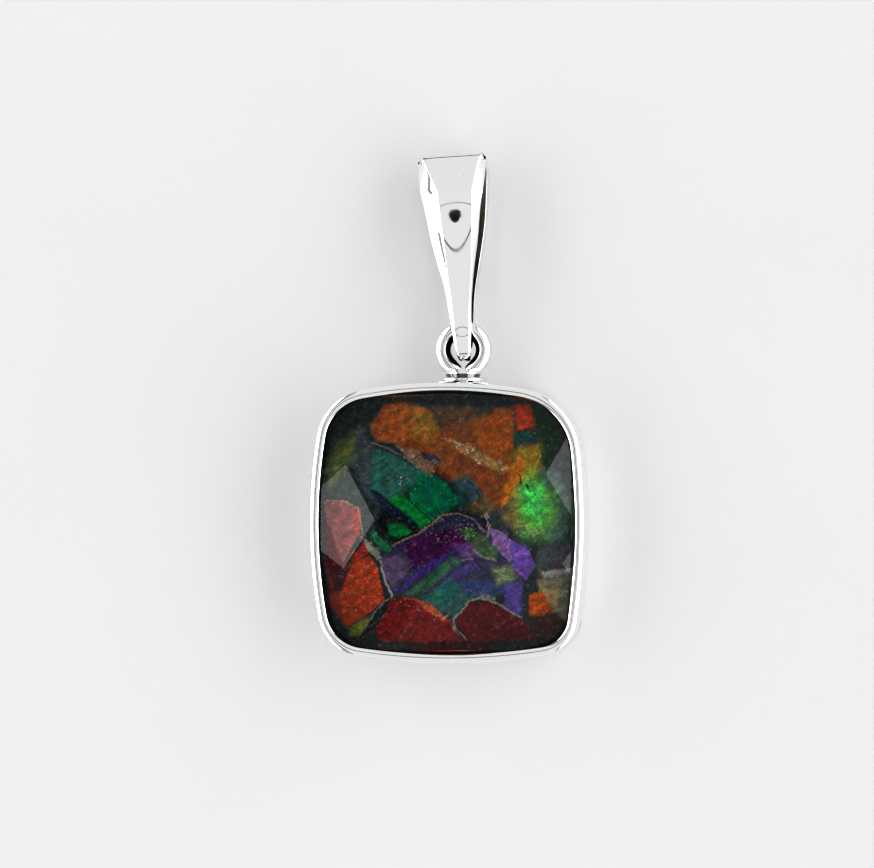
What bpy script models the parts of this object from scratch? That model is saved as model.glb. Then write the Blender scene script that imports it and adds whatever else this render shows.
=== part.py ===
# Pendant: a faceted clear cap over an ammolite slice in a silver bezel, on a hinged bail.
# Metres, +Z up. The pendant lies on its back: the stone faces +Z and the bail points to +Y.
# The origin is under the middle of the stone, on the plane the pendant lies on.

import math

import bmesh
import bpy
from mathutils import Vector

MM = 0.001

# stone opening, seen from above
HALF_WIDTH = 5.91
HALF_HEIGHT = 6.04
LEFT_BOW, RIGHT_BOW, TOP_BOW, BOTTOM_BOW = 24.3, 31.9, 21.7, 28.2
UPPER_RIGHT, UPPER_LEFT, LOWER_LEFT, LOWER_RIGHT = 2.86, 2.11, 1.82, 1.43
SIDE_STEPS = 7
CORNER_STEPS = 7

# bezel cup
WALL = 0.42
LIP_HEIGHT = 3.15
LIP_ROUND = 0.14
LIP_SHOULDER = 0.04
LIP_INNER_HEIGHT = 3.0
SEAT_HEIGHT = 2.62
PLATE = 0.5
POCKET_GROWTH = 0.14
EDGE_BREAK = 0.12

# ammolite slice and clear cap
FIT_GAP = 0.04
SLICE_TOP = 2.2
CAP_BOTTOM = 2.25
TABLE_HEIGHT = 4.05
TABLE_X, TABLE_Y = -0.5, 0.05

# each facet of the cap: direction it faces in degrees, slope in degrees,
# and distance from the table's middle to the line where it would meet the table's height
CAP_FACETS = (
    (44.5, 9.6, 1.93), (135.0, 12.0, 1.95), (218.9, 12.7, 2.03), (314.1, 10.3, 1.88),
    (0.0, 12.6, 2.7), (88.6, 13.6, 2.75), (178.6, 21.8, 2.68), (260.4, 13.3, 2.89),
    (45.0, 15.0, 3.16), (135.0, 17.0, 2.79), (219.0, 17.0, 2.69), (315.0, 16.0, 3.03),
    (13.5, 20.7, 4.05), (346.0, 20.7, 4.28), (166.0, 27.0, 3.44), (194.0, 27.0, 3.44),
    (76.0, 21.5, 4.07), (104.0, 21.5, 3.91), (256.0, 21.5, 3.87), (284.0, 21.5, 4.33),
)

# neck and ring, on the upper side of the bezel; the ring's legs would meet at its tip
NECK_X = 0.66
NECK_Z = 1.8
NECK_BASE = HALF_HEIGHT + WALL + FIT_GAP
FLANGE_RADIUS = 1.1
FLANGE_THICK = 0.14
COLLAR_RADIUS = 0.88
COLLAR_THICK = 0.42
COLLAR_ROUND = 0.13
NECK_STEPS = 32
RING_LOOP = 0.95
RING_WIRE = 0.37
RING_MIDDLE_Y = 7.94
RING_TIP_Y = 6.5
RING_STEPS = 28

# bail: a tapered strap bent round into a loop that the ring's upper wire passes through
BAIL_LEAN = math.radians(3.6)
BAIL_STEPS = 3
# the strap's inner face is a little narrower than its widest part
INNER_SHARE = 0.94
# stations of the outer face round the loop: along the bail, above the wire's middle,
# half width, half width of the middle facet, its shift to the side, thickness, side drop
BAIL_STATIONS = (
    (-1.50, 0.00, 0.24, 0.16, 0.00, 0.50, 0.04),
    (-1.22, 0.56, 0.32, 0.22, 0.00, 0.46, 0.05),
    (-0.60, 0.84, 0.40, 0.28, 0.00, 0.44, 0.06),
    (0.30, 0.95, 0.48, 0.34, 0.03, 0.46, 0.08),
    (1.35, 1.22, 0.59, 0.43, 0.08, 0.52, 0.16),
    (2.60, 1.54, 0.80, 0.56, 0.14, 0.60, 0.24),
    (4.05, 1.74, 1.08, 0.64, 0.17, 0.68, 0.31),
    (5.40, 1.80, 1.27, 0.74, 0.18, 0.74, 0.34),
    (6.30, 1.70, 1.42, 0.79, 0.18, 0.78, 0.36),
    (7.25, 1.16, 1.54, 1.10, 0.06, 0.74, 0.36),
    (7.90, 0.62, 1.58, 1.34, 0.00, 0.66, 0.30),
    (8.04, 0.00, 1.58, 1.38, 0.00, 0.60, 0.26),
    (7.84, -0.70, 1.57, 1.38, 0.00, 0.55, 0.20),
    (7.20, -1.34, 1.54, 1.36, 0.00, 0.52, 0.14),
    (6.10, -1.72, 1.42, 1.26, 0.00, 0.50, 0.10),
    (4.70, -1.80, 1.24, 1.08, 0.00, 0.50, 0.10),
    (3.10, -1.64, 0.92, 0.78, 0.00, 0.50, 0.10),
    (1.60, -1.28, 0.62, 0.50, 0.00, 0.48, 0.08),
    (0.30, -0.95, 0.48, 0.36, 0.00, 0.46, 0.06),
    (-0.60, -0.84, 0.40, 0.28, 0.00, 0.44, 0.06),
    (-1.22, -0.56, 0.32, 0.22, 0.00, 0.46, 0.05),
)


def clear_scene():
    for scene_object in list(bpy.data.objects):
        bpy.data.objects.remove(scene_object, do_unlink=True)


def make_collection(name):
    collection = bpy.data.collections.new(name)
    bpy.context.scene.collection.children.link(collection)
    return collection


def make_material(name, color, metallic, roughness):
    material = bpy.data.materials.new(name)
    material.use_nodes = True
    shader = material.node_tree.nodes["Principled BSDF"]
    shader.inputs["Base Color"].default_value = (*color, 1.0)
    shader.inputs["Metallic"].default_value = metallic
    shader.inputs["Roughness"].default_value = roughness
    return material


def add_mesh_object(name, bm, material, collection, location=(0, 0, 0), rotation=(0, 0, 0)):
    bmesh.ops.recalc_face_normals(bm, faces=bm.faces)
    mesh = bpy.data.meshes.new(name)
    bm.to_mesh(mesh)
    bm.free()
    mesh.materials.append(material)
    new_object = bpy.data.objects.new(name, mesh)
    new_object.location = location
    new_object.rotation_euler = rotation
    collection.objects.link(new_object)
    return new_object


def corner_center(side, side_radius, end, end_radius, radius, toward):
    """Middle of a corner arc that runs smoothly into a side arc and an end arc."""
    reach_side = side_radius - radius
    reach_end = end_radius - radius
    span = end - side
    along = (reach_side**2 - reach_end**2 + span.length_squared) / (2 * span.length)
    away = math.sqrt(reach_side**2 - along**2)
    foot = side + span.normalized() * along
    across = Vector((-span.y, span.x)).normalized() * away
    return max(foot + across, foot - across, key=lambda point: point.dot(toward))


def cushion_arcs():
    """The eight arcs of the opening, anticlockwise from the right side: middle, radius, angles."""
    right = (Vector((HALF_WIDTH - RIGHT_BOW, 0)), RIGHT_BOW)
    top = (Vector((0, HALF_HEIGHT - TOP_BOW)), TOP_BOW)
    left = (Vector((LEFT_BOW - HALF_WIDTH, 0)), LEFT_BOW)
    bottom = (Vector((0, BOTTOM_BOW - HALF_HEIGHT)), BOTTOM_BOW)
    sides = (right, top, left, bottom)
    radii = (UPPER_RIGHT, UPPER_LEFT, LOWER_LEFT, LOWER_RIGHT)
    toward = (Vector((1, 1)), Vector((-1, 1)), Vector((-1, -1)), Vector((1, -1)))
    corners = []
    for index in range(4):
        first, second = sides[index], sides[(index + 1) % 4]
        middle = corner_center(first[0], first[1], second[0], second[1], radii[index], toward[index])
        corners.append((middle, radii[index]))
    arcs = []
    for index in range(4):
        middle, radius = sides[index]
        before = corners[index - 1][0] - middle
        after = corners[index][0] - middle
        corner, corner_radius = corners[index]
        following = corner - sides[(index + 1) % 4][0]
        arcs.append((middle, radius, before, after, SIDE_STEPS))
        arcs.append((corner, corner_radius, after, following, CORNER_STEPS))
    return arcs


def cushion_ring(arcs, inset, height):
    """Points of the cushion outline moved in by the inset, at one height."""
    points = []
    for middle, radius, start, end, steps in arcs:
        first = math.atan2(start.y, start.x)
        turn = (math.atan2(end.y, end.x) - first) % (2 * math.pi)
        for step in range(steps):
            angle = first + turn * step / steps
            reach = radius - inset
            x = middle.x + reach * math.cos(angle)
            y = middle.y + reach * math.sin(angle)
            points.append((x * MM, y * MM, height * MM))
    return points


def loft(rings, closed=False):
    """Skin between rings of equal point counts, capped at both ends unless it closes on itself."""
    bm = bmesh.new()
    loops = []
    for ring in rings:
        verts = [bm.verts.new(point) for point in ring]
        loops.append([bm.edges.new((verts[index - 1], verts[index])) for index in range(len(verts))])
    pairs = list(zip(loops, loops[1:]))
    if closed:
        pairs.append((loops[-1], loops[0]))
    for lower, upper in pairs:
        bmesh.ops.bridge_loops(bm, edges=lower + upper)
    if not closed:
        bmesh.ops.holes_fill(bm, edges=loops[0] + loops[-1])
    return bm


def cut_away(bm, point, normal):
    """Cut off what is on the normal's side of a plane and close the cut."""
    parts = bm.verts[:] + bm.edges[:] + bm.faces[:]
    cut = bmesh.ops.bisect_plane(
        bm, geom=parts, dist=1e-8, plane_co=point, plane_no=normal, clear_outer=True)
    rim = [item for item in cut["geom_cut"] if isinstance(item, bmesh.types.BMEdge)]
    bmesh.ops.holes_fill(bm, edges=rim)


def build_bezel_cup(arcs, material, collection):
    section = (
        (EDGE_BREAK - WALL, 0.0),
        (-WALL, EDGE_BREAK),
        (-WALL, LIP_HEIGHT - LIP_ROUND),
        (LIP_SHOULDER - WALL, LIP_HEIGHT - LIP_SHOULDER),
        (LIP_ROUND - WALL, LIP_HEIGHT),
        (-LIP_ROUND, LIP_HEIGHT),
        (0.0, LIP_INNER_HEIGHT),
        (-POCKET_GROWTH, SEAT_HEIGHT),
        (-POCKET_GROWTH, PLATE),
    )
    rings = [cushion_ring(arcs, inset, height) for inset, height in section]
    return add_mesh_object("bezel_cup", loft(rings), material, collection)


def build_ammolite_slice(arcs, material, collection):
    inset = FIT_GAP - POCKET_GROWTH
    rings = [cushion_ring(arcs, inset, PLATE + FIT_GAP), cushion_ring(arcs, inset, SLICE_TOP)]
    return add_mesh_object("ammolite_slice", loft(rings), material, collection)


def build_crystal_cap(arcs, material, collection):
    wide = FIT_GAP - POCKET_GROWTH
    rim_slope = POCKET_GROWTH / (LIP_INNER_HEIGHT - SEAT_HEIGHT)
    shoulder = SEAT_HEIGHT - FIT_GAP
    top_inset = wide + (TABLE_HEIGHT + FIT_GAP - shoulder) * rim_slope
    section = ((wide, CAP_BOTTOM), (wide, shoulder), (top_inset, TABLE_HEIGHT + FIT_GAP))
    bm = loft([cushion_ring(arcs, inset, height) for inset, height in section])
    middle = Vector((TABLE_X, TABLE_Y, TABLE_HEIGHT)) * MM
    planes = [(middle, Vector((0, 0, 1)))]
    for facing, slope, reach in CAP_FACETS:
        heading = Vector((math.cos(math.radians(facing)), math.sin(math.radians(facing)), 0))
        tilt = math.radians(slope)
        normal = heading * math.sin(tilt) + Vector((0, 0, math.cos(tilt)))
        planes.append((middle + heading * reach * MM, normal))
    for point, normal in planes:
        cut_away(bm, point, normal)
    bmesh.ops.remove_doubles(bm, verts=bm.verts, dist=2e-6)
    return add_mesh_object("crystal_cap", bm, material, collection)


def ring_path():
    """The ring's middle line: a leg from the tip, round the loop and back down to the tip."""
    drop = RING_MIDDLE_Y - RING_TIP_Y
    tangent = math.acos(RING_LOOP / drop)
    start = tangent - math.pi / 2
    sweep = 2 * math.pi - 2 * tangent
    points = [(0.0, RING_TIP_Y)]
    for step in range(RING_STEPS + 1):
        angle = start + sweep * step / RING_STEPS
        points.append((RING_LOOP * math.cos(angle), RING_MIDDLE_Y + RING_LOOP * math.sin(angle)))
    points.append((0.0, RING_TIP_Y))
    return points


def build_hinge_ring(material, collection):
    curve = bpy.data.curves.new("hinge_ring_wire", "CURVE")
    curve.dimensions = "3D"
    spline = curve.splines.new("POLY")
    points = ring_path()
    spline.points.add(len(points) - 1)
    for point, (x, y) in zip(spline.points, points):
        point.co = ((NECK_X + x) * MM, y * MM, NECK_Z * MM, 1.0)
    curve.bevel_depth = RING_WIRE * MM
    curve.bevel_resolution = 4
    curve.use_fill_caps = True
    wire = bpy.data.objects.new("hinge_ring_wire", curve)
    collection.objects.link(wire)
    bpy.context.view_layer.update()
    depsgraph = bpy.context.evaluated_depsgraph_get()
    mesh = bpy.data.meshes.new_from_object(wire.evaluated_get(depsgraph))
    bpy.data.objects.remove(wire, do_unlink=True)
    bm = bmesh.new()
    bm.from_mesh(mesh)
    bmesh.ops.remove_doubles(bm, verts=bm.verts, dist=1e-6)
    foot = (NECK_BASE + FLANGE_THICK + COLLAR_THICK + FIT_GAP) * MM
    cut_away(bm, Vector((0, foot, 0)), Vector((0, -1, 0)))
    return add_mesh_object("hinge_ring", bm, material, collection)


def build_neck(material, collection):
    """The neck under the ring, a thin flange and a rounded collar, turned on its own Z."""
    top = FLANGE_THICK + COLLAR_THICK
    profile = (
        (0.0, top),
        (COLLAR_RADIUS - COLLAR_ROUND, top),
        (COLLAR_RADIUS, top - COLLAR_ROUND),
        (COLLAR_RADIUS, FLANGE_THICK + COLLAR_ROUND),
        (COLLAR_RADIUS - COLLAR_ROUND, FLANGE_THICK),
        (FLANGE_RADIUS, FLANGE_THICK),
        (FLANGE_RADIUS, 0.0),
        (0.0, 0.0),
    )
    bm = bmesh.new()
    verts = [bm.verts.new((radius * MM, 0, height * MM)) for radius, height in profile]
    for upper, lower in zip(verts, verts[1:]):
        bm.edges.new((upper, lower))
    foot = (NECK_X * MM, NECK_BASE * MM, NECK_Z * MM)
    neck = add_mesh_object("neck_collar", bm, material, collection, foot, (-math.pi / 2, 0, 0))
    turned = neck.modifiers.new("turned", "SCREW")
    turned.steps = NECK_STEPS
    turned.render_steps = NECK_STEPS
    turned.use_merge_vertices = True
    turned.merge_threshold = 1e-6
    return neck


def station_between(first, second, third, fourth, share):
    """A station between the second and the third, on a smooth curve through all four."""
    mixed = []
    for a, b, c, d in zip(first, second, third, fourth):
        line = 2 * b + (c - a) * share
        bend = (2 * a - 5 * b + 4 * c - d) * share**2 + (3 * b - a - 3 * c + d) * share**3
        mixed.append(0.5 * (line + bend))
    return mixed


def bail_sections():
    """Closed sections of the strap, one for each place round the loop."""
    count = len(BAIL_STATIONS)
    stations = []
    for index in range(count):
        around = [BAIL_STATIONS[(index + step) % count] for step in (-1, 0, 1, 2)]
        for step in range(BAIL_STEPS):
            stations.append(station_between(*around, step / BAIL_STEPS))
    sections = []
    for index, station in enumerate(stations):
        along, above, half, facet, shift, thick, drop = station
        before = Vector(stations[index - 1][:2])
        after = Vector(stations[(index + 1) % len(stations)][:2])
        run = (after - before).normalized()
        inward = Vector((run.y, -run.x))
        face = Vector((along, above))
        side = face + inward * drop
        inner = face + inward * thick
        section = []
        for x, spot in (
            (facet + shift, face), (half, side), (half * INNER_SHARE, inner),
            (-half * INNER_SHARE, inner), (-half, side), (shift - facet, face),
        ):
            section.append((x * MM, spot.x * MM, spot.y * MM))
        sections.append(section)
    return sections


def build_bail(material, collection):
    """The bail's own origin is on its hinge line, the middle of the ring's upper wire."""
    hinge = (NECK_X * MM, (RING_MIDDLE_Y + RING_LOOP) * MM, NECK_Z * MM)
    bm = loft(bail_sections(), closed=True)
    return add_mesh_object("bail", bm, material, collection, hinge, (0, 0, BAIL_LEAN))


def build():
    clear_scene()
    parts = make_collection("ammolite_pendant")
    silver = make_material("silver", (0.9, 0.9, 0.9), 1.0, 0.08)
    ammolite = make_material("ammolite", (0.22, 0.09, 0.06), 0.0, 0.35)
    crystal = make_material("crystal", (0.75, 0.85, 0.85), 0.0, 0.02)
    crystal.node_tree.nodes["Principled BSDF"].inputs["Transmission Weight"].default_value = 1.0
    arcs = cushion_arcs()
    build_bezel_cup(arcs, silver, parts)
    build_ammolite_slice(arcs, ammolite, parts)
    build_crystal_cap(arcs, crystal, parts)
    build_neck(silver, parts)
    build_hinge_ring(silver, parts)
    build_bail(silver, parts)


build()
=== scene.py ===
import math
import bpy
import bmesh
from mathutils import Matrix, Vector


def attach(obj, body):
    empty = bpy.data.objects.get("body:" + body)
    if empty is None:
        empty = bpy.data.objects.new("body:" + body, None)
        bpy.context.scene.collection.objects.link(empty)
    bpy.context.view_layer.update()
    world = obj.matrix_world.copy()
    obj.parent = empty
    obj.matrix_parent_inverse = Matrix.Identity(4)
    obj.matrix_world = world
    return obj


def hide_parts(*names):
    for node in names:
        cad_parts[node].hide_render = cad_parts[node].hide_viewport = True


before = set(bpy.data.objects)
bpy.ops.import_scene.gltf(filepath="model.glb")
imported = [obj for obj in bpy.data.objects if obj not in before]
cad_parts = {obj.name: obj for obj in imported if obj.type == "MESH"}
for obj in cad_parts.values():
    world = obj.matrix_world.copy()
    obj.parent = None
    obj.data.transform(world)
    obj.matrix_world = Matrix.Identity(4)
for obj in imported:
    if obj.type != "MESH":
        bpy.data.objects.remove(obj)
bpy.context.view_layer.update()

mm = 0.001
weld = 0.002 * mm
contrast = 0.6        # the picture's gamma: under 1 deepens the darks, as in the photograph


# a socket that can be used in Python expressions
class Wire:
    def __init__(self, shader, socket):
        self.shader = shader
        self.socket = socket

    def maths(self, operation, *values):
        return self.shader.add("Math", {"operation": operation}, values)

    def __add__(self, other):
        return self.maths("ADD", self, other)

    def __radd__(self, other):
        return self.maths("ADD", other, self)

    def __sub__(self, other):
        return self.maths("SUBTRACT", self, other)

    def __rsub__(self, other):
        return self.maths("SUBTRACT", other, self)

    def __mul__(self, other):
        return self.maths("MULTIPLY", self, other)

    def __rmul__(self, other):
        return self.maths("MULTIPLY", other, self)


class Shader:
    def __init__(self, material):
        material.use_nodes = True
        self.tree = material.node_tree
        self.surface = self.tree.nodes.get("Principled BSDF")
        self.count = 0

    # one node: its type, its settings, then values or wires for its sockets
    def add(self, kind, settings=None, values=(), out=0):
        node = self.tree.nodes.new("ShaderNode" + kind)
        node.location = (-200 * (self.count % 12) - 300, 700 - 170 * (self.count // 12))
        self.count += 1
        for name, value in (settings or {}).items():
            setattr(node, name, value)
        pairs = values.items() if isinstance(values, dict) else enumerate(values)
        for key, value in pairs:
            self.plug(node.inputs[key], value)
        return Wire(self, node.outputs[out])

    def plug(self, socket, value):
        if isinstance(value, Wire):
            self.tree.links.new(value.socket, socket)
        else:
            socket.default_value = value

    def finish(self, **sockets):
        for name, value in sockets.items():
            self.plug(self.surface.inputs[name.replace("_", " ")], value)

    def places(self):
        return self.add("TexCoord", out="Object")

    def noise(self, places, scale, detail=3.0, roughness=0.5, out=0):
        return self.add("TexNoise", None,
                        {"Vector": places, "Scale": scale, "Detail": detail, "Roughness": roughness}, out)

    def between(self, value, low, high, first=0.0, second=1.0):
        return self.add("MapRange", {"interpolation_type": "SMOOTHSTEP"}, [value, low, high, first, second])

    def mixed(self, share, first, second):
        return self.add("Mix", {"data_type": "FLOAT"}, {0: share, 2: first, 3: second})

    def blend(self, share, first, second):
        return self.add("Mix", {"data_type": "RGBA"}, {0: share, 6: first, 7: second}, 2)


def toLinear(red, green, blue):
    shades = []
    for value in (red, green, blue):
        part = value / 255
        shades.append(part / 12.92 if part < 0.04045 else ((part + 0.055) / 1.055) ** 2.4)
    return shades


def makePiece(name, bm, body, materials):
    bmesh.ops.remove_doubles(bm, verts=bm.verts, dist=weld)
    bmesh.ops.recalc_face_normals(bm, faces=bm.faces)
    mesh = bpy.data.meshes.new(name)
    bm.to_mesh(mesh)
    bm.free()
    piece = bpy.data.objects.new(name, mesh)
    bpy.context.scene.collection.objects.link(piece)
    for material in materials:
        mesh.materials.append(material)
    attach(piece, body)
    return piece


def smoothPiece(piece, angle):
    piece.data.shade_smooth()
    piece.data.set_sharp_from_angle(angle=math.radians(angle))
    weighted = piece.modifiers.new("flatFaces", "WEIGHTED_NORMAL")
    weighted.keep_sharp = True
    weighted.weight = 80


# the stone's outline: four bowed sides and four corners, each an arc
stone = {
    "halfWidth": 5.91, "halfHeight": 6.04,
    "bows": (31.9, 21.7, 24.3, 28.2),        # right, top, left, bottom
    "corners": (2.86, 2.11, 1.82, 1.43),     # from the upper right, anticlockwise
    "sideSteps": 16, "cornerSteps": 16,
}


def outlineArcs():
    wide, high = stone["halfWidth"], stone["halfHeight"]
    bows, corners = stone["bows"], stone["corners"]
    sides = (Vector((wide - bows[0], 0)), Vector((0, high - bows[1])),
             Vector((bows[2] - wide, 0)), Vector((0, bows[3] - high)))
    middles = []
    for index in range(4):
        start, end = sides[index], sides[(index + 1) % 4]
        reachStart = bows[index] - corners[index]
        reachEnd = bows[(index + 1) % 4] - corners[index]
        span = end - start
        along = (reachStart**2 - reachEnd**2 + span.length_squared) / (2 * span.length)
        away = math.sqrt(reachStart**2 - along**2)
        foot = start + span.normalized() * along
        across = Vector((-span.y, span.x)).normalized() * away
        outward = Vector(((1, -1, -1, 1)[index], (1, 1, -1, -1)[index]))
        middles.append(max(foot + across, foot - across, key=lambda spot: spot.dot(outward)))
    arcs = []
    for index in range(4):
        side, corner = sides[index], middles[index]
        arcs.append((side, bows[index], middles[index - 1] - side, corner - side, stone["sideSteps"]))
        arcs.append((corner, corners[index], corner - side, corner - sides[(index + 1) % 4],
                     stone["cornerSteps"]))
    return arcs


def outlineFace(bm, inset, height):
    verts = []
    for middle, radius, start, end, steps in outlineArcs():
        first = math.atan2(start.y, start.x)
        turn = (math.atan2(end.y, end.x) - first) % (2 * math.pi)
        for step in range(steps):
            angle = first + turn * step / steps
            reach = radius - inset
            x = middle.x + reach * math.cos(angle)
            y = middle.y + reach * math.sin(angle)
            verts.append(bm.verts.new((x * mm, y * mm, height * mm)))
    return bm.faces.new(verts)


def raiseFace(bm, face, height):
    made = bmesh.ops.extrude_face_region(bm, geom=[face])
    verts = [item for item in made["geom"] if isinstance(item, bmesh.types.BMVert)]
    bmesh.ops.translate(bm, verts=verts, vec=(0, 0, height * mm))
    return [item for item in made["geom"] if isinstance(item, bmesh.types.BMFace)][0]


def insetFace(bm, face, thickness, depth=0.0):
    bmesh.ops.inset_region(bm, faces=[face], thickness=thickness * mm, use_even_offset=True)
    bmesh.ops.translate(bm, verts=face.verts, vec=(0, 0, depth * mm))


def bevelEdges(bm, edges, width, segments):
    bmesh.ops.bevel(bm, geom=edges, offset=width * mm, offset_type="OFFSET", segments=segments,
                    profile=0.5, affect="EDGES", material=-1)


# painted shade: the ring's inner wall and the crease under the collar are painted near black, standing for
# the shade in the ring's hole and in the crease, in mm
hollowShade = {
    "middle": (0.66, 7.94, 0), "reach": (0.77, 0.85),
    "crease": 6.65, "creaseWidth": (0.005, 0.03),
    "shade": (0.006, 0.006, 0.007, 1),
}


def hollowShadeMask(shader, places):
    flat = shader.add("VectorMath", {"operation": "MULTIPLY"}, [places, (1 / mm, 1 / mm, 0)])
    reach = shader.add("VectorMath", {"operation": "DISTANCE"}, [flat, hollowShade["middle"]], "Value")
    height = shader.add("SeparateXYZ", None, [flat], 1)
    off = shader.add("Math", {"operation": "ABSOLUTE"}, [height - hollowShade["crease"]])
    inner = shader.between(reach, *hollowShade["reach"], 1, 0)
    crease = shader.between(off, *hollowShade["creaseWidth"], 0.85, 0)
    return shader.add("Math", {"operation": "MAXIMUM"}, [inner, crease])


# each silver's tint, and its roughness from bright to dull; how many hairlines, dull patches
# and pits there are, in the scene's metres, and how much the first two show
silverLook = {
    "polished": ((0.93, 0.93, 0.925), (0.035, 0.11)),
    "handled": ((0.9, 0.9, 0.895), (0.04, 0.14)),
    # the inside tint is painted shade: a darker copy of the silver for the shade inside the bail's loop
    "inside": ((0.4, 0.38, 0.36), (0.12, 0.3)),
    "hairlines": 9000, "hairlineTurn": 0.5, "hairlineStretch": (8, 0.6, 1), "scratch": 0.06,
    "patches": 900, "ripple": 0.3, "pits": 1400, "pitShade": 0.9,
    "relief": 0.05, "reliefDepth": 0.02,
}


def makeSilver(name, look, hollowShaded=False):
    tint, rough = silverLook[look]
    material = bpy.data.materials.new(name)
    shader = Shader(material)
    places = shader.places()
    stretched = shader.add("Mapping", {"vector_type": "TEXTURE"},
                           {"Vector": places, "Rotation": (0, 0, silverLook["hairlineTurn"]),
                            "Scale": silverLook["hairlineStretch"]})
    hairlines = shader.noise(stretched, silverLook["hairlines"], 2)
    patches = shader.noise(places, silverLook["patches"], 3)
    pits = shader.add("TexVoronoi", None, {"Vector": places, "Scale": silverLook["pits"]})
    dull = shader.between(patches, 0.35, 0.75, *rough)
    dull = dull + shader.between(hairlines, 0.6, 0.8, 0, 0.05)
    darker = [part * silverLook["pitShade"] for part in tint]
    color = shader.blend(shader.between(pits, 0.05, 0.12), (*darker, 1), (*tint, 1))
    # painted shade on the ring's inner wall and in the collar's crease
    if hollowShaded:
        color = shader.blend(hollowShadeMask(shader, places), color, hollowShade["shade"])
    relief = hairlines * silverLook["scratch"] + patches * silverLook["ripple"]
    normal = shader.add("Bump", None, {"Strength": silverLook["relief"],
                                       "Distance": silverLook["reliefDepth"] * mm, "Height": relief})
    shader.finish(Base_Color=color, Roughness=dull, Normal=normal, Metallic=1.0)
    return material


# the pocket's wall beside the stone, painted near black: painted shade for the shadow in the gap round the
# stone
seamShadeLook = {"grain": (3000, 4), "rough": (0.5, 0.8),
        "colors": ((0.004, 0.004, 0.005, 1), (0.02, 0.018, 0.017, 1))}


def makeSeamShade():
    material = bpy.data.materials.new("seamShade")
    shader = Shader(material)
    grain = shader.noise(shader.places(), *seamShadeLook["grain"])
    color = shader.blend(grain, *seamShadeLook["colors"])
    shader.finish(Base_Color=color, Roughness=shader.between(grain, 0.3, 0.7, *seamShadeLook["rough"]))
    return material


crystal = {"bend": 1.54, "tint": (0.985, 0.99, 0.99, 1), "smears": (500, 3), "rough": (0.0, 0.015)}


def makeCrystal():
    material = bpy.data.materials.new("clearCap")
    shader = Shader(material)
    smears = shader.noise(shader.places(), *crystal["smears"])
    shader.finish(Transmission_Weight=1.0, IOR=crystal["bend"], Base_Color=crystal["tint"],
                  Roughness=shader.between(smears, 0.55, 0.8, *crystal["rough"]))
    return material


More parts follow.
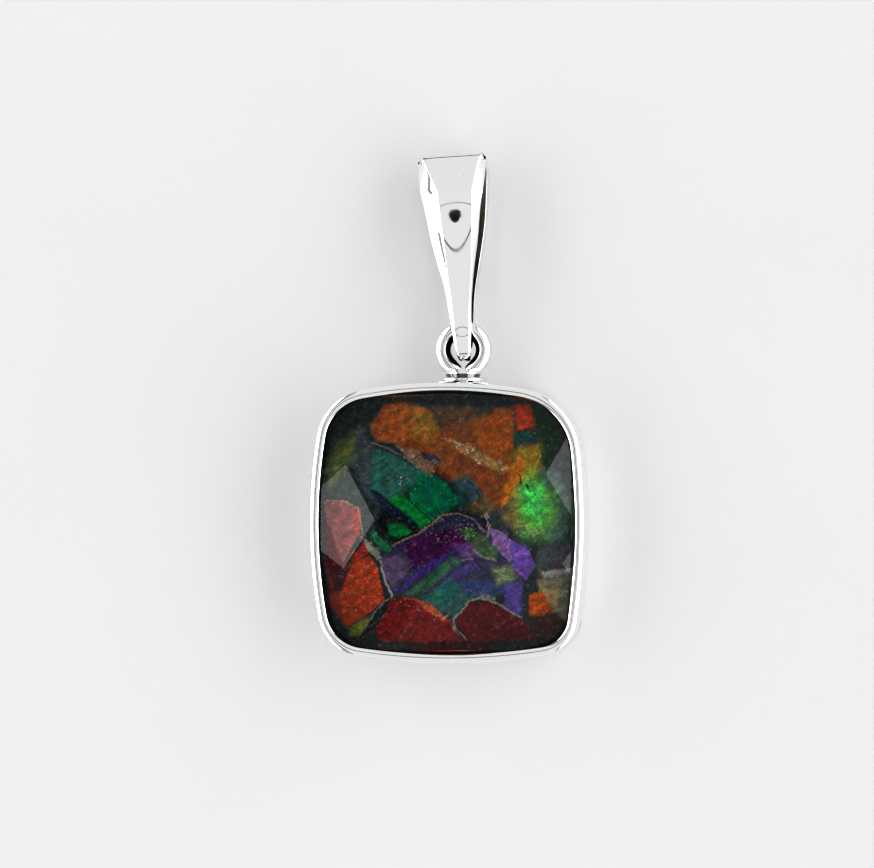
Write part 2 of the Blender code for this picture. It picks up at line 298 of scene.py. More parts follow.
# the ammolite as it looks in daylight, in mm: patches laid one over another, each an outline
# with the softness of its edge and its colour, then veins and cracks as lines with their
# half widths and colours, and the places where pale specks crowd
ammolite = {
    "veil": 0.036, "gain": 1.15, "darkest": 0.004, "spread": 0.965,
    "bends": ((0.9, 2, 0.22), (4, 3, 0.16), (16, 2, 0.07)),      # scale, detail and reach of each
    "streaks": (3, 4, 0.65), "streakTurn": 35, "streakStretch": (5, 0.8, 1), "streakRange": (0.78, 1.22),
    "grain": (14, 5, 0.7), "grainRange": (0.78, 1.22), "mottle": (2.6, 5, 0.7), "mottleRange": (0.65, 1.35),
    "tints": (3.4, 4, 0.7), "tintBase": 0.15, "tintGain": 1.7,
    "lineEdge": (0.4, 1.5), "crackShare": 0.9, "ragged": (7, 3, 0.7), "raggedRange": (0.25, 0.95),
    "crowd": 0.15, "crumble": (9, 3, 0.3), "speckSizes": ((3.4, 0.34), (7, 0.42)),
    "speckColor": (206, 198, 168), "rough": (0.3, 0.5), "shine": 0.05,
    "base": (32, 42, 44),
    "patches": (
        (((-5.45, 1.6), (-4.4, 2.95), (-4.12, 4.24), (-5.05, 3.8), (-5.75, 2.46)), 0.35, (88, 104, 50)),
        (((-4.42, 2.79), (-4.12, 1.69), (-3.36, 1.01), (-3.52, 3.64), (-4.12, 4.49)), 0.2, (60, 72, 78)),
        (((-3.61, 1.18), (-2.93, 0.93), (-1.74, 1.52), (-1.15, 2.37), (-2.51, 3.22), (-3.52, 3.39)),
         0.1, (36, 92, 80)),
        (((-1.4, 0.5), (-0.55, 0.25), (0.72, 1.01), (-0.04, 1.95), (-1.15, 2.37), (-1.91, 1.52)),
         0.08, (12, 98, 68)),
        (((-2.68, 0.59), (-1.23, -0.26), (-0.55, 0.16), (-2.08, 1.35), (-2.76, 1.01)), 0.06, (8, 122, 52)),
        (((-4.54, 1.01), (-3.86, -0.26), (-3.36, 0.16), (-4.33, 2.2), (-4.8, 2.54), (-5.65, 1.18)),
         0.1, (30, 52, 44)),
        (((-3.02, 0.59), (-1.57, -0.35), (-1.32, -0.09), (-3.19, 1.35), (-3.61, 1.52)), 0.06, (20, 34, 50)),
        (((-3.19, -0.52), (-2.42, -0.94), (-1.74, -0.77), (-1.49, -0.26), (-2.85, 0.59), (-3.36, 0.16)),
         0.06, (24, 28, 32)),
        (((-2.76, -0.52), (-2.17, -0.77), (-1.66, -0.52), (-2.17, -0.09), (-2.76, -0.05)),
         0.12, (14, 106, 52)),
        (((-3.57, -0.6), (-3.02, -1.2), (-2.51, -1.41), (-2.51, -1.11), (-3.44, -0.26)),
         0.06, (22, 98, 64)),
        (((-3.36, 3.81), (-2.08, 3.64), (-0.72, 3.81), (-0.72, 5.17), (-1.74, 5.68), (-2.93, 5.51),
          (-3.61, 4.58)), 0.12, (152, 74, 32)),
        (((-0.72, 2.2), (1.31, 1.18), (2.33, 0.5), (3.01, 2.03), (3.01, 4.49), (1.14, 4.83), (-2.17, 3.73)),
         0.1, (120, 54, 20)),
        (((-1.57, 3.98), (-0.89, 3.73), (-0.3, 4.24), (-0.89, 5.09), (-1.57, 5.34)), 0.3, (138, 92, 24)),
        (((-0.3, 4.41), (0.63, 4.24), (1.31, 4.75), (1.48, 5.51), (-0.72, 5.43)), 0.3, (84, 54, 36)),
        (((1.48, 3.39), (2.84, 2.37), (3.1, 3.05), (3.1, 5.34), (2.33, 5.34), (1.31, 4.75)),
         0.2, (146, 66, 18)),
        (((3.27, 4.32), (4.03, 4.37), (4.24, 4.83), (3.86, 5.51), (3.18, 5.6)), 0.12, (180, 50, 20)),
        (((-0.89, 5.49), (1.48, 5.41), (4.03, 5.66), (-0.21, 6.04), (-3.36, 5.68)), 0.15, (24, 32, 34)),
        (((4.2, 3.64), (4.54, 2.37), (5.39, 3.9), (4.71, 5.26), (4.03, 5.6)), 0.15, (20, 44, 28)),
        (((3.1, 2.5), (3.8, 1.6), (4.37, 2.54), (4.37, 3.64), (3.18, 3.56)), 0.3, (146, 108, 22)),
        (((3.18, 3.69), (4.37, 3.73), (4.12, 4.15), (3.1, 4.28)), 0.07, (16, 58, 50)),
        (((2.67, 1.52), (2.25, 0.42), (3.18, 1.18), (3.61, 2.03), (3.48, 3.05), (3.01, 3.05)),
         0.15, (206, 104, 16)),
        (((2.5, 0.16), (3.1, -0.35), (3.69, -0.01), (3.44, 1.44), (2.84, 1.01)), 0.25, (120, 106, 48)),
        (((4.37, 1.69), (4.6, -1), (5.56, -0.9), (5.8, 0.67), (5.2, 2.3), (4.54, 2.5)), 0.2, (64, 98, 84)),
        (((3.5, -0.7), (4.6, -0.7), (5.1, 0.2), (5, 1.4), (4.1, 2.4), (3.2, 1.6)), 0.45, (84, 164, 56)),
        (((3.6, 0.4), (4.3, 0.1), (4.7, 0.93), (4.3, 1.8), (3.6, 1.6)), 0.4, (64, 218, 88)),
        (((0.72, 0.67), (1.48, 0.59), (1.65, 1.35), (0.89, 2.2), (0.21, 1.95)), 0.15, (34, 60, 68)),
        (((1.82, 0.29), (2.33, 0.5), (1.65, 1.35), (0.89, 0.67)), 0.15, (84, 64, 36)),
        (((-1.74, 2.88), (-0.72, 2.24), (-0.3, 2.71), (-1.23, 3.39), (-2.34, 3.6)), 0.1, (116, 84, 62)),
        (((0.97, 3.05), (2.42, 2.37), (2.93, 2.5), (1.14, 3.56), (-0.21, 3.9)), 0.1, (146, 108, 58)),
        (((-0.98, 2.96), (-0.38, 2.71), (-0.3, 2.96), (-1.15, 3.3)), 0.05, (40, 48, 60)),
        (((-2.59, -3.36), (1.31, -3.44), (3.44, -2.89), (3.27, -1.53), (1.31, 0.33), (-0.04, 0.38),
          (-3.02, -1.53)), 0.05, (44, 44, 72)),
        (((0.3, -4.46), (1.31, -3.32), (-1.4, -3.32)), 0.06, (36, 84, 78)),
        (((-1.57, -2.13), (-0.72, -1.87), (1.14, -0.86), (0.47, -0.26), (-1.4, -0.6), (-2.08, -1.2)),
         0.15, (62, 26, 66)),
        (((-2.76, -2.81), (-2.42, -3.15), (-1.57, -2.04), (-2.17, -1.45), (-3.06, -1.62)),
         0.12, (86, 70, 102)),
        (((-2.51, -3.15), (-1.91, -3.11), (0.63, -1.2), (-0.04, -1.2), (-0.72, -1.79), (-2.51, -2.47)),
         0.12, (64, 46, 126)),
        (((-1.32, -3.44), (0.63, -1.7), (0.13, -1.62), (-1.91, -3.36)), 0.1, (46, 90, 66)),
        (((-0.21, -3.11), (1.57, -1.87), (1.06, -1.7), (-0.72, -3.06)), 0.12, (66, 52, 122)),
        (((1.23, -1.2), (2.16, -1.7), (2.42, -1.28), (1.4, -0.26), (0.63, -0.26)), 0.12, (56, 84, 50)),
        (((0.63, -1.53), (1.57, -1.53), (1.14, -0.94), (0.13, -1.03)), 0.1, (92, 56, 118)),
        (((0.04, -3.74), (0.72, -3.06), (0.13, -2.55), (-1.06, -3.4)), 0.15, (22, 92, 78)),
        (((0.8, -3.32), (1.99, -3.4), (3.18, -3.23), (2.84, -2.55), (0.55, -2.72)), 0.2, (44, 58, 108)),
        (((2.33, -2.89), (3.18, -2.64), (3.18, -1.87), (2.08, -2.04)), 0.25, (108, 120, 82)),
        (((2.67, -3.91), (3.44, -4.38), (3.61, -2.64), (2.76, -2.98)), 0.1, (84, 64, 152)),
        (((2.16, -1.03), (2.93, -1.79), (3.35, -1.45), (2.76, -0.43), (1.95, -0.18)), 0.05, (130, 94, 162)),
        (((3.18, -2.13), (3.69, -2.64), (4.18, -1.96), (3.86, -1.2), (2.84, -0.6)), 0.06, (108, 70, 176)),
        (((3.39, -4.42), (3.61, -4.42), (3.69, -3.4), (4.12, -2.72), (3.61, -2.72)), 0.06, (40, 34, 44)),
        (((4.2, -2.55), (5.83, -2.38), (5.83, -0.86), (4.2, -1.2)), 0.12, (58, 62, 66)),
        (((4.37, -3.49), (5.13, -4.51), (5.64, -4.59), (5.77, -2.38), (4.2, -2.64)), 0.12, (132, 126, 92)),
        (((4.62, -3.66), (5.13, -3.74), (5.22, -3.06), (4.46, -3.06)), 0.15, (172, 132, 92)),
        (((4.54, -2.6), (5.64, -2.55), (5.73, -2.13), (4.37, -2.21)), 0.08, (140, 140, 134)),
        (((3.86, -4.34), (4.46, -4.55), (5.01, -4), (4.37, -3.15), (3.86, -3.32)), 0.07, (196, 76, 16)),
        (((4.03, -5.52), (4.88, -5.52), (5.69, -4.76), (5.13, -4.17), (3.86, -4.42)), 0.15, (58, 32, 28)),
        (((-5.56, -0.35), (-4.88, -2.04), (-3.93, -0.52), (-3.93, 0.59), (-4.63, 1.01), (-5.82, 1.01)),
         0.04, (146, 62, 62)),
        (((-4.25, -0.77), (-3.93, -0.52), (-3.93, 0.5), (-4.25, 0.67)), 0.1, (170, 60, 34)),
        (((-5.65, -1.9), (-5.5, -3.9), (-4.8, -5), (-3.9, -4.4), (-4.3, -2)), 0.15, (140, 50, 36)),
        (((-5.65, -2.13), (-4.63, -2.89), (-4.76, -2.04), (-5.48, -0.26), (-5.8, 0.16)),
         0.08, (86, 16, 20)),
        (((-4.46, -1.58), (-4.54, -1.92), (-3.69, -1.41), (-3.57, -1.11), (-3.86, -0.9)),
         0.04, (170, 44, 30)),
        (((-5.22, -3.28), (-4.54, -2.89), (-4.46, -2.04), (-5.52, -2.3)), 0.15, (70, 36, 48)),
        (((-5.1, -3.74), (-4.71, -4.93), (-4.2, -4.59), (-2.83, -3.74), (-3.19, -2.13), (-3.61, -1.49),
          (-4.54, -1.92)), 0.05, (176, 58, 28)),
        (((-4.54, -5.35), (-3.95, -5.35), (-3.44, -4.29), (-4.71, -4.97)), 0.12, (98, 108, 38)),
        (((-3.27, -4.93), (-2.42, -3.91), (-2.59, -3.66), (-3.36, -4.29), (-4.2, -5.44)),
         0.05, (32, 30, 34)),
        (((-3.27, -5.52), (0.55, -5.57), (0.34, -4.85), (-0.64, -3.83), (-1.66, -3.4), (-2.51, -3.57),
          (-3.36, -5.1)), 0.04, (112, 22, 22)),
        (((-1.15, -3.95), (-0.21, -4.51), (0.25, -4.68), (-0.64, -3.83), (-1.4, -3.57)),
         0.07, (158, 66, 34)),
        (((0.63, -5.52), (4.12, -5.52), (3.52, -4.46), (1.91, -3.66), (0.93, -3.74), (0.38, -4.55)),
         0.04, (80, 20, 24)),
        (((0.3, -6.03), (4.46, -5.42), (0.63, -5.54), (-4.12, -5.42)), 0.1, (58, 6, 10)),
        (((-3.61, -1.32), (-3.19, -1.7), (-3.08, -1.2), (-3.61, -0.86), (-3.99, -0.52)),
         0.05, (128, 126, 114)),
    ),
    "veins": (
        (((-3.1, -1.58), (-2.97, -2.21), (-2.76, -2.89), (-2.49, -3.4)), 0.055, (184, 184, 176)),
        (((-2.49, -3.44), (-2.85, -3.7), (-3.36, -4.17), (-3.86, -4.89)), 0.035, (132, 134, 126)),
        (((-3.61, -4.85), (-3.1, -4.51), (-2.76, -4.25)), 0.02, (110, 106, 100)),
        (((0.25, -4.51), (0.63, -4.17), (0.97, -3.67), (1.48, -3.5), (2.33, -3.78), (3.44, -4.42)),
         0.05, (150, 150, 148)),
        (((1.61, -3.4), (2.16, -3.57)), 0.1, (142, 138, 136)),
        (((0.25, -4.51), (0.36, -5.02), (0.89, -5.54)), 0.04, (138, 130, 122)),
        (((-3.52, 3.69), (-2.76, 3.47), (-2.08, 3.13), (-1.15, 2.5), (-0.72, 2.2)), 0.05, (116, 112, 100)),
        (((-2.42, -1.03), (-1.4, -0.53), (-0.64, -0.01), (-0.21, 0.37), (0.55, 0.45)),
         0.05, (160, 122, 100)),
        (((0.55, 0.45), (1.31, 0.15), (1.78, -0.35), (2.42, -0.6)), 0.035, (140, 122, 108)),
        (((1.82, 0.37), (2.01, -0.01), (1.87, -0.6)), 0.045, (172, 152, 152)),
        (((4.27, 3.56), (4.39, 3.13), (4.13, 2.63), (4.03, 1.86)), 0.03, (160, 170, 60)),
        (((-5.65, 1.05), (-4.63, 1.01), (-4.03, 0.66), (-3.9, -0.01), (-3.78, -0.6)),
         0.035, (176, 136, 122)),
        (((1.23, -1.2), (1.65, -1.53), (2.25, -1.7)), 0.06, (132, 132, 112)),
        (((2.21, -2.21), (2.67, -2.13)), 0.06, (150, 156, 120)),
        (((0.63, -1.7), (1.14, -1.66)), 0.05, (140, 110, 160)),
        (((3.18, -0.18), (3.61, -0.09), (4.03, -0.6), (4.46, -0.35)), 0.06, (150, 160, 110)),
        (((-0.21, -4.51), (-0.04, -4.34)), 0.05, (210, 120, 60)),
        (((-1.91, -3.49), (-0.89, -3.66), (-0.21, -4.25)), 0.04, (150, 84, 62)),
    ),
    "cracks": (
        (((-1.91, 1.18), (-0.72, 0.12)), 0.035, (8, 36, 34)),
        (((-3.44, 1.44), (-2.42, 0.59), (-1.4, -0.22)), 0.03, (8, 14, 26)),
        (((-3.19, 1.01), (-2.34, 0.33), (-1.57, -0.35)), 0.025, (10, 18, 30)),
        (((-3.02, 0.59), (-3.23, -0.18), (-2.59, -0.77)), 0.03, (10, 12, 14)),
        (((-2.59, -0.94), (-1.4, -0.43)), 0.03, (14, 16, 18)),
        (((-3.06, -1.7), (-2.89, -2.47), (-2.51, -3.28)), 0.03, (14, 14, 18)),
        (((3.39, 2.2), (3.48, 1.82)), 0.045, (30, 30, 10)),
        (((3.73, 1.69), (3.82, 1.52)), 0.045, (20, 30, 14)),
        (((3.18, 3.73), (3.27, 3.47)), 0.03, (30, 40, 10)),
        (((-4.12, -5.44), (-3.36, -4.76), (-2.59, -4.08)), 0.03, (12, 10, 12)),
        (((0.97, 1.86), (1.48, 1.18), (1.4, 0.84)), 0.04, (14, 34, 44)),
    ),
    "specks": (
        (((0.97, 2.96), (2.5, 2.2), (3.01, 2.54), (1.14, 3.64), (-0.21, 3.98)), 0.15, 1),
        (((-1.74, 2.88), (-0.72, 2.24), (0.3, 2.71), (-1.23, 3.39), (-2.34, 3.6)), 0.1, 0.5),
        (((-1.91, 1.27), (-1.4, 1.35), (-1.74, 2.12), (-2.34, 2.2)), 0.06, 1),
        (((3.35, -0.6), (4.54, -0.6), (4.54, -0.01), (3.01, -0.09)), 0.1, 0.9),
        (((-3.69, -1.32), (-3.19, -1.75), (-3.06, -1.2), (-3.61, -0.77), (-4.03, -0.47)), 0.06, 1),
        (((-0.21, -1.03), (1.99, -0.6), (1.31, 0.16), (-0.04, 0.33), (-1.4, -0.26)), 0.1, 0.6),
        (((2.33, -2.55), (3.1, -2.55), (3.1, -1.87), (2.16, -1.96)), 0.1, 0.5),
        (((2.33, -0.6), (3.01, -0.86), (3.27, -0.6), (2.33, -0.18)), 0.06, 0.7),
        (((-1.06, -4.42), (0.21, -4.68), (-0.89, -3.66), (-2.51, -3.57)), 0.1, 0.6),
        (((4.54, -2.68), (5.64, -2.64), (5.73, -2.13), (4.37, -2.21)), 0.08, 0.8),
        (((-5.05, -3.74), (-4.46, -4.59), (-2.93, -3.74), (-3.19, -1.7), (-4.97, -1.7)), 0.2, 0.35),
    ),
}


# the stone's own colour for one seen through the cap, which lays a pale veil over it
def shellColor(color):
    seen = [part**contrast - ammolite["veil"] for part in toLinear(*color)]
    return (*[max(part, ammolite["darkest"]) / ammolite["gain"] for part in seen], 1)


def shifted(shader, places, scale, detail, reach):
    push = shader.noise(places, scale, detail, 0.6, out="Color")
    push = shader.add("VectorMath", {"operation": "SUBTRACT"}, [push, (0.5, 0.5, 0.5)])
    return shader.add("VectorMath", {"operation": "MULTIPLY_ADD"}, [push, (reach, reach, 0), places])


# how far a place is along a direction from a point; the places carry a 1 in z, so that one
# dot product does it
def measured(shader, places, point, direction):
    plane = (direction.x, direction.y, -direction.dot(point))
    return shader.add("VectorMath", {"operation": "DOT_PRODUCT"}, [places, plane], "Value")


# 1 inside an outline that bulges everywhere and runs anticlockwise
def insideMask(shader, places, outline, soft):
    nearest = None
    for start, end in zip(outline, outline[1:] + outline[:1]):
        along = (Vector(end) - Vector(start)).normalized()
        depth = measured(shader, places, Vector(start), Vector((-along.y, along.x)))
        nearest = depth if nearest is None else nearest.maths("MINIMUM", nearest, depth)
    return shader.between(nearest, -soft, soft)


# 1 along a line drawn from point to point
def lineMask(shader, places, points, halfWidth):
    nearest = None
    for start, end in zip(points, points[1:]):
        start, end = Vector(start), Vector(end)
        along = (end - start).normalized()
        middle = (start + end) / 2
        beyond = shader.add("Math", {"operation": "ABSOLUTE"}, [measured(shader, places, middle, along)])
        beyond = beyond - (end - start).length / 2
        aside = measured(shader, places, middle, Vector((-along.y, along.x)))
        aside = shader.add("Math", {"operation": "ABSOLUTE"}, [aside])
        away = shader.add("Math", {"operation": "MAXIMUM"}, [beyond, aside])
        nearest = away if nearest is None else nearest.maths("MINIMUM", nearest, away)
    core, rim = ammolite["lineEdge"]
    return shader.between(nearest, halfWidth * core, halfWidth * rim, 1, 0)


def makeAmmolite():
    material = bpy.data.materials.new("ammoliteFace")
    shader = Shader(material)
    spread = 1 / (mm * ammolite["spread"])
    flat = shader.add("VectorMath", {"operation": "MULTIPLY"}, [shader.places(), (spread, spread, 0)])
    places = flat
    for scale, detail, reach in ammolite["bends"]:
        places = shifted(shader, places, scale, detail, reach)
    places = shader.add("VectorMath", {"operation": "MULTIPLY_ADD"}, [places, (1, 1, 0), (0, 0, 1)])
    color = shellColor(ammolite["base"])
    for outline, soft, shade in ammolite["patches"]:
        color = shader.blend(insideMask(shader, places, outline, soft), color, shellColor(shade))
    turned = (0, 0, math.radians(ammolite["streakTurn"]))
    streaked = shader.add("Mapping", {"vector_type": "TEXTURE"},
                          {"Vector": flat, "Rotation": turned, "Scale": ammolite["streakStretch"]})
    streaks = shader.noise(streaked, *ammolite["streaks"])
    streaks = shader.between(streaks, 0.3, 0.7, *ammolite["streakRange"])
    grain = shader.noise(flat, *ammolite["grain"])
    mottle = shader.noise(flat, *ammolite["mottle"])
    mottle = shader.between(mottle, 0.3, 0.7, *ammolite["mottleRange"])
    tints = shader.noise(flat, *ammolite["tints"], out="Color")
    tints = shader.add("VectorMath", {"operation": "MULTIPLY_ADD"},
                       [tints, [ammolite["tintGain"]] * 3, [ammolite["tintBase"]] * 3])
    color = shader.add("VectorMath", {"operation": "MULTIPLY"}, [color, tints])
    deepened = streaks * mottle * shader.between(grain, 0.35, 0.65, *ammolite["grainRange"])
    color = shader.add("VectorMath", {"operation": "SCALE"}, {0: color, "Scale": deepened})
    for points, halfWidth, shade in ammolite["cracks"]:
        mask = lineMask(shader, places, points, halfWidth) * ammolite["crackShare"]
        color = shader.blend(mask, color, shellColor(shade))
    ragged = shader.noise(flat, *ammolite["ragged"])
    ragged = shader.between(ragged, 0.38, 0.55, *ammolite["raggedRange"])
    for points, halfWidth, shade in ammolite["veins"]:
        mask = lineMask(shader, places, points, halfWidth) * ragged
        color = shader.blend(mask, color, shellColor(shade))
    crowd = ammolite["crowd"]
    for outline, soft, amount in ammolite["specks"]:
        there = insideMask(shader, places, outline, soft) * amount
        crowd = shader.add("Math", {"operation": "MAXIMUM"}, [crowd, there])
    crumbled = shifted(shader, flat, *ammolite["crumble"])
    for scale, size in ammolite["speckSizes"]:
        cells = shader.add("TexVoronoi", None, {"Vector": crumbled, "Scale": scale})
        chosen = shader.noise(flat, scale * 0.8, 1)
        specks = shader.between(cells, size * 0.4, size, 1, 0) * shader.between(chosen, 0.46, 0.56)
        color = shader.blend(specks * crowd, color, shellColor(ammolite["speckColor"]))
    shader.finish(Base_Color=color, Roughness=shader.between(grain, 0.3, 0.7, *ammolite["rough"]),
                  Specular_IOR_Level=ammolite["shine"])
    return material


# dark shale on the slab's sides, the stone's own backing, which also makes a thin rim round its top:
# painted shade there, for the shadow in the gap round the stone
shaleAndRimLook = {"layers": (1, 1, 0.2), "grain": (1500, 5, 0.6), "rough": 0.75,
         "colors": ((0.002, 0.002, 0.002, 1), (0.016, 0.014, 0.013, 1))}


def makeShaleAndRimShade():
    material = bpy.data.materials.new("darkShaleAndRimShade")
    shader = Shader(material)
    layers = shader.add("Mapping", {"vector_type": "TEXTURE"},
                        {"Vector": shader.places(), "Scale": shaleAndRimLook["layers"]})
    grain = shader.noise(layers, *shaleAndRimLook["grain"])
    shader.finish(Base_Color=shader.blend(grain, *shaleAndRimLook["colors"]), Roughness=shaleAndRimLook["rough"])
    return material


silver = makeSilver("polishedSilver", "polished")
# the wire silver carries the painted shade of the ring's hole and the collar's crease
wireSilver = makeSilver("handledSilverHollowShade", "handled", True)
# a darker copy of the silver: painted shade inside the bail's loop
shadedInsideSilver = makeSilver("insideSilverPaintedShade", "inside")
seamShade = makeSeamShade()
clearCap = makeCrystal()
ammoliteFace = makeAmmolite()
darkShaleAndRimShade = makeShaleAndRimShade()
print("materials ready")


cup = {"wall": 0.42, "height": 3.15, "crown": 0.09, "lipRound": 0.14, "lipInner": 3.08,
       "edgeRound": 0.12, "pocket": 0.5, "roundSteps": 4, "smooth": 50}


def makeCup():
    bm = bmesh.new()
    face = outlineFace(bm, -cup["wall"], 0)
    bottom = face.edges[:]
    face = raiseFace(bm, face, cup["height"] - cup["crown"])
    top = face.edges[:]
    insetFace(bm, face, cup["wall"] - cup["lipRound"], cup["crown"])
    insetFace(bm, face, cup["lipRound"], cup["lipInner"] - cup["height"])
    seat = raiseFace(bm, face, cup["pocket"] - cup["lipInner"])
    bmesh.ops.delete(bm, geom=[face], context="FACES_ONLY")
    # the pocket's walls take the near-black seam material: painted shade round the stone
    for wall in {wall for edge in seat.edges for wall in edge.link_faces}:
        wall.material_index = 1
    bevelEdges(bm, bottom, cup["edgeRound"], cup["roundSteps"])
    bevelEdges(bm, [edge for edge in top if edge.is_valid], cup["lipRound"], cup["roundSteps"])
    piece = makePiece("bezelShell", bm, "setting", [silver, seamShade])
    smoothPiece(piece, cup["smooth"])
    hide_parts("bezel_cup")


# the top lies a hair inside the cap, as if glued: no air between them mirrors the light
slab = {"inset": -0.08, "bottom": 0.55, "top": 2.27, "margin": 0.15}


def makeSlab():
    bm = bmesh.new()
    face = raiseFace(bm, outlineFace(bm, slab["inset"], slab["bottom"]), slab["top"] - slab["bottom"])
    # the sides and a thin rim round the top are dark shale; the rim is painted shade as well, for the
    # shadow in the gap round the stone
    for side in bm.faces:
        side.material_index = 1
    insetFace(bm, face, slab["margin"])
    face.material_index = 0
    piece = makePiece("ammoliteSlab", bm, "setting", [ammoliteFace, darkShaleAndRimShade])
    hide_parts("ammolite_slice")


neck = {"x": 0.66, "z": 1.8, "base": 6.5, "flange": 1.1, "flangeTop": 6.64, "collar": 0.88,
        "collarTop": 7.07, "bulge": 0.14, "steps": 64, "crease": 0.5, "edge": 0.035, "edgeSteps": 3,
        "smooth": 60}


def makeNeck():
    bm = bmesh.new()
    belly = (neck["flangeTop"] + neck["collarTop"]) / 2
    waist = neck["collar"] - neck["bulge"]
    profile = ((0, neck["base"]), (neck["flange"], neck["base"]), (neck["flange"], neck["flangeTop"]),
               (waist, neck["flangeTop"]), (neck["collar"], belly),
               (waist, neck["collarTop"]), (0, neck["collarTop"]))
    verts = [bm.verts.new(((neck["x"] + radius) * mm, y * mm, neck["z"] * mm)) for radius, y in profile]
    edges = [bm.edges.new(pair) for pair in zip(verts, verts[1:])]
    bmesh.ops.spin(bm, geom=verts + edges, cent=(neck["x"] * mm, 0, neck["z"] * mm), axis=(0, 1, 0),
                   dvec=(0, 0, 0), angle=2 * math.pi, steps=neck["steps"],
                   use_merge=True, use_duplicate=False)
    bmesh.ops.remove_doubles(bm, verts=bm.verts, dist=weld)
    creases = [edge for edge in bm.edges
               if edge.is_manifold and edge.calc_face_angle() > neck["crease"]]
    bevelEdges(bm, creases, neck["edge"], neck["edgeSteps"])
    piece = makePiece("neckCollar", bm, "setting", [wireSilver])
    smoothPiece(piece, neck["smooth"])
    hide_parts("neck_collar")


ring = {"loop": 0.95, "wire": 0.37, "middleY": 7.94, "tipY": 6.5, "legs": 1.0,
        "steps": 48, "sides": 28, "smooth": 50}


def makeRing():
    bm = bmesh.new()
    lean = math.acos(ring["loop"] / (ring["middleY"] - ring["tipY"]))
    start = lean - math.pi / 2
    middle = Vector((neck["x"], ring["middleY"], neck["z"])) * mm
    made = bmesh.ops.create_circle(bm, segments=ring["sides"], radius=ring["wire"] * mm)
    profile = made["verts"]
    stand = Matrix.Rotation(math.pi / 2, 4, "X")
    stand = Matrix.Translation((ring["loop"] * mm, 0, 0)) @ stand
    bmesh.ops.transform(bm, matrix=stand, verts=profile)
    swung = Matrix.Translation(middle) @ Matrix.Rotation(start, 4, "Z")
    bmesh.ops.transform(bm, matrix=swung, verts=profile)
    first = list({edge for vert in profile for edge in vert.link_edges})
    bent = bmesh.ops.spin(bm, geom=profile + first, cent=middle, axis=(0, 0, 1), dvec=(0, 0, 0),
                          angle=2 * math.pi - 2 * lean, steps=ring["steps"], use_duplicate=False)
    last = [item for item in bent["geom_last"] if isinstance(item, bmesh.types.BMEdge)]
    legLength = ring["legs"] * mm
    for edges, side in ((first, 1), (last, -1)):
        leg = bmesh.ops.extrude_edge_only(bm, edges=edges)
        verts = [item for item in leg["geom"] if isinstance(item, bmesh.types.BMVert)]
        away = Vector((-side * math.cos(lean), -math.sin(lean), 0)) * legLength
        bmesh.ops.translate(bm, verts=verts, vec=away)
    bmesh.ops.holes_fill(bm, edges=bm.edges)
    piece = makePiece("bailRing", bm, "setting", [wireSilver])
    smoothPiece(piece, ring["smooth"])
    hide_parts("hinge_ring")


# the bail's outer face round its loop: along, above, half width, half facet, facet's shift,
# thickness, side drop, and whether the face has a crisp cross edge there
bail = {
    "lean": 3.6, "steps": 6, "innerShare": 0.94, "ridge": 0.12, "edge": 0.025, "edgeSteps": 2,
    "smooth": 40,
    "stations": (
        (-1.50, 0.00, 0.24, 0.16, 0.00, 0.50, 0.04, False),
        (-1.22, 0.56, 0.32, 0.22, 0.00, 0.46, 0.05, False),
        (-0.60, 0.84, 0.40, 0.28, 0.00, 0.34, 0.06, False),
        (0.30, 0.95, 0.48, 0.34, 0.03, 0.34, 0.08, False),
        (1.35, 1.22, 0.59, 0.43, 0.08, 0.52, 0.16, True),
        (2.60, 1.54, 0.80, 0.56, 0.14, 0.60, 0.24, False),
        (4.05, 1.74, 1.08, 0.64, 0.17, 0.68, 0.31, False),
        (5.40, 1.80, 1.27, 0.74, 0.18, 0.74, 0.34, False),
        (6.30, 1.70, 1.42, 0.79, 0.18, 0.78, 0.36, True),
        (7.25, 1.16, 1.54, 1.10, 0.06, 0.74, 0.36, False),
        (7.90, 0.62, 1.58, 1.34, 0.00, 0.66, 0.30, True),
        (8.04, 0.00, 1.58, 1.38, 0.00, 0.60, 0.26, False),
        (7.84, -0.70, 1.57, 1.38, 0.00, 0.55, 0.20, False),
        (7.20, -1.34, 1.54, 1.36, 0.00, 0.52, 0.14, False),
        (6.10, -1.72, 1.42, 1.26, 0.00, 0.50, 0.10, False),
        (4.70, -1.80, 1.24, 1.08, 0.00, 0.50, 0.10, False),
        (3.10, -1.64, 0.92, 0.78, 0.00, 0.50, 0.10, False),
        (1.60, -1.28, 0.62, 0.50, 0.00, 0.48, 0.08, False),
        (0.30, -0.95, 0.48, 0.36, 0.00, 0.34, 0.06, False),
        (-0.60, -0.84, 0.40, 0.28, 0.00, 0.34, 0.06, False),
        (-1.22, -0.56, 0.32, 0.22, 0.00, 0.46, 0.05, False),
    ),
}


def bailStations():
    marks = bail["stations"]
    count = len(marks)
    stations = []
    for index in range(count):
        before, start, end, after = [marks[(index + step) % count] for step in (-1, 0, 1, 2)]
        for step in range(bail["steps"]):
            share = step / bail["steps"]
            mixed = []
            for a, b, c, d in zip(before[:7], start[:7], end[:7], after[:7]):
                a = 2 * b - c if start[7] else a          # a crisp edge doesn't bend into its neighbour
                d = 2 * c - b if end[7] else d
                line = 2 * b + (c - a) * share
                bend = (2 * a - 5 * b + 4 * c - d) * share**2 + (3 * b - a - 3 * c + d) * share**3
                mixed.append((line + bend) / 2)
            stations.append(mixed)
    return stations


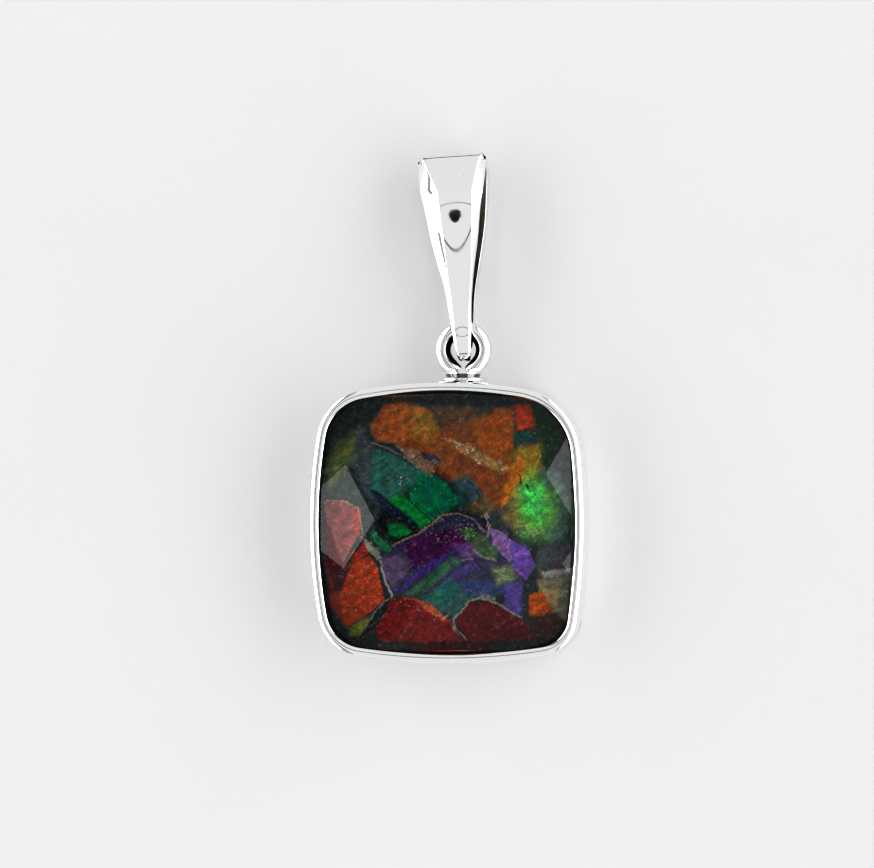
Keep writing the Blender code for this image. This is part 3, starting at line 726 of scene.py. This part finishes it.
def makeBail():
    bm = bmesh.new()
    stations = bailStations()
    hinge = Vector((neck["x"], ring["middleY"] + ring["loop"], neck["z"])) * mm
    loops = []
    for index, (along, above, half, facet, shift, thick, drop) in enumerate(stations):
        before = Vector(stations[index - 1][:2])
        after = Vector(stations[(index + 1) % len(stations)][:2])
        run = (after - before).normalized()
        inward = Vector((run.y, -run.x))
        face = Vector((along, above))
        side = face + inward * drop
        inner = face + inward * thick
        narrow = half * bail["innerShare"]
        verts = []
        for x, spot in ((facet + shift, face), (half, side), (narrow, inner),
                        (-narrow, inner), (-half, side), (shift - facet, face)):
            verts.append(bm.verts.new((x * mm, spot.x * mm, spot.y * mm)))
        loops.append([bm.edges.new((verts[spot - 1], verts[spot])) for spot in range(len(verts))])
    rims = [edge for loop in loops for edge in loop]
    insides = {loop[3] for loop in loops}
    for index, loop in enumerate(loops):
        bmesh.ops.bridge_loops(bm, edges=loop + loops[index - 1])
    # the loop's inner faces take the darker inside silver, painted shade for the shade inside the loop
    for face in bm.faces:
        if insides.intersection(face.edges):
            face.material_index = 1
    bmesh.ops.recalc_face_normals(bm, faces=bm.faces)
    around = set(rims)
    ridges = [edge for edge in bm.edges
              if edge not in around and edge.calc_face_angle() > bail["ridge"]]
    bevelEdges(bm, ridges, bail["edge"], bail["edgeSteps"])
    place = Matrix.Translation(hinge) @ Matrix.Rotation(math.radians(bail["lean"]), 4, "Z")
    bmesh.ops.transform(bm, matrix=place, verts=bm.verts)
    piece = makePiece("bailLoop", bm, "bail", [silver, shadedInsideSilver])
    smoothPiece(piece, bail["smooth"])
    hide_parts("bail")


def dressCap():
    cap = bpy.data.objects["crystal_cap"]
    for place in cap.material_slots:
        place.material = clearCap


makeCup()
makeSlab()
makeNeck()
makeRing()
makeBail()
dressCap()
print("pieces ready")


studio = {
    "floor": (0.27, 0.27, 0.272), "floorSize": 1.2, "floorGrain": (60, 4), "floorShade": 0.94,
    "floorRough": 0.9, "glow": 0.425,
    "ceiling": 0.93, "ends": 0.92, "endEdge": (0.3, 0.7), "gap": 0.5, "gapEdge": 0.03, "clothEdge": 0.08,
    "cloths": ((1, 0.37, 0.47, 4.0), (-1, 0.34, 0.54, 3.8)),    # side, gap, cloth and its strength
    "slit": (-0.86, -0.82), "slitEdge": 0.02, "slitStart": (0.15, 0.18),
    "lensPlace": (-0.07, 0.02, 1.0), "lensSize": 0.075, "lensCore": 0.85, "lensShade": 0.04,
    "hoop": 0.235, "hoopWidth": (0.003, 0.01), "hoopShade": 0.25,
}


# a pale tent with a bright cloth on the right and left, a dim gap between each cloth and
# the ceiling, a slit in the left cloth, and the dark lens looking down through its hoop
def makeStudio():
    bpy.ops.mesh.primitive_plane_add(size=studio["floorSize"])
    floor = bpy.context.object
    floor.name = "floor"
    material = bpy.data.materials.new("paleFloor")
    shader = Shader(material)
    grain = shader.noise(shader.places(), *studio["floorGrain"])
    darker = [part * studio["floorShade"] for part in studio["floor"]]
    color = shader.blend(grain, (*studio["floor"], 1), (*darker, 1))
    shader.finish(Base_Color=color, Roughness=studio["floorRough"], Emission_Color=(1, 1, 1, 1),
                  Emission_Strength=studio["glow"])
    floor.data.materials.append(material)
    world = bpy.data.worlds.new("softTent")
    bpy.context.scene.world = world
    sky = Shader(world)
    direction = sky.add("TexCoord", out="Generated")
    sideways = sky.add("SeparateXYZ", None, [direction])
    ahead = sky.add("Math", {"operation": "ABSOLUTE"}, [sky.add("SeparateXYZ", None, [direction], 1)])
    light = sky.between(ahead, *studio["endEdge"], studio["ceiling"], studio["ends"])
    for side, gap, cloth, strength in studio["cloths"]:
        reach = sideways * side
        light = sky.mixed(sky.between(reach, gap, gap + studio["gapEdge"]), light, studio["gap"])
        light = sky.mixed(sky.between(reach, cloth, cloth + studio["clothEdge"]), light, strength)
    low, high = studio["slit"]
    edge = studio["slitEdge"]
    slit = sky.between(sideways, low - edge, low) * sky.between(sideways, high, high + edge, 1, 0)
    light = sky.mixed(slit * sky.between(ahead, *studio["slitStart"]), light, studio["gap"])
    lensSize = studio["lensSize"]
    toLens = sky.add("VectorMath", {"operation": "DISTANCE"},
                     [direction, Vector(studio["lensPlace"]).normalized()], "Value")
    toHoop = sky.add("Math", {"operation": "ABSOLUTE"}, [toLens - studio["hoop"]])
    light = light * sky.between(toLens, lensSize * studio["lensCore"], lensSize, studio["lensShade"], 1)
    light = light * sky.between(toHoop, *studio["hoopWidth"], studio["hoopShade"], 1)
    background = sky.tree.nodes["Background"]
    sky.plug(background.inputs["Strength"], light)
    background.inputs["Color"].default_value = (1, 1, 1, 1)


view = {"turn": 6.0, "distance": 250.0, "field": 40.04, "aim": (-0.43, 4.06, 3.0), "sensor": 36}


def makeCamera():
    data = bpy.data.cameras.new("camera")
    camera = bpy.data.objects.new("camera", data)
    bpy.context.scene.collection.objects.link(camera)
    data.sensor_width = view["sensor"]
    data.sensor_fit = "HORIZONTAL"
    data.lens = view["sensor"] * view["distance"] / view["field"]
    data.clip_start = mm
    turn = math.radians(view["turn"])
    back = Vector((math.sin(turn), 0, math.cos(turn)))
    camera.location = (Vector(view["aim"]) + back * view["distance"]) * mm
    camera.rotation_euler = (0, turn, 0)
    bpy.context.scene.camera = camera


makeStudio()
makeCamera()
bpy.context.scene.view_settings.view_transform = "Standard"
bpy.context.scene.view_settings.gamma = contrast
print("studio ready")
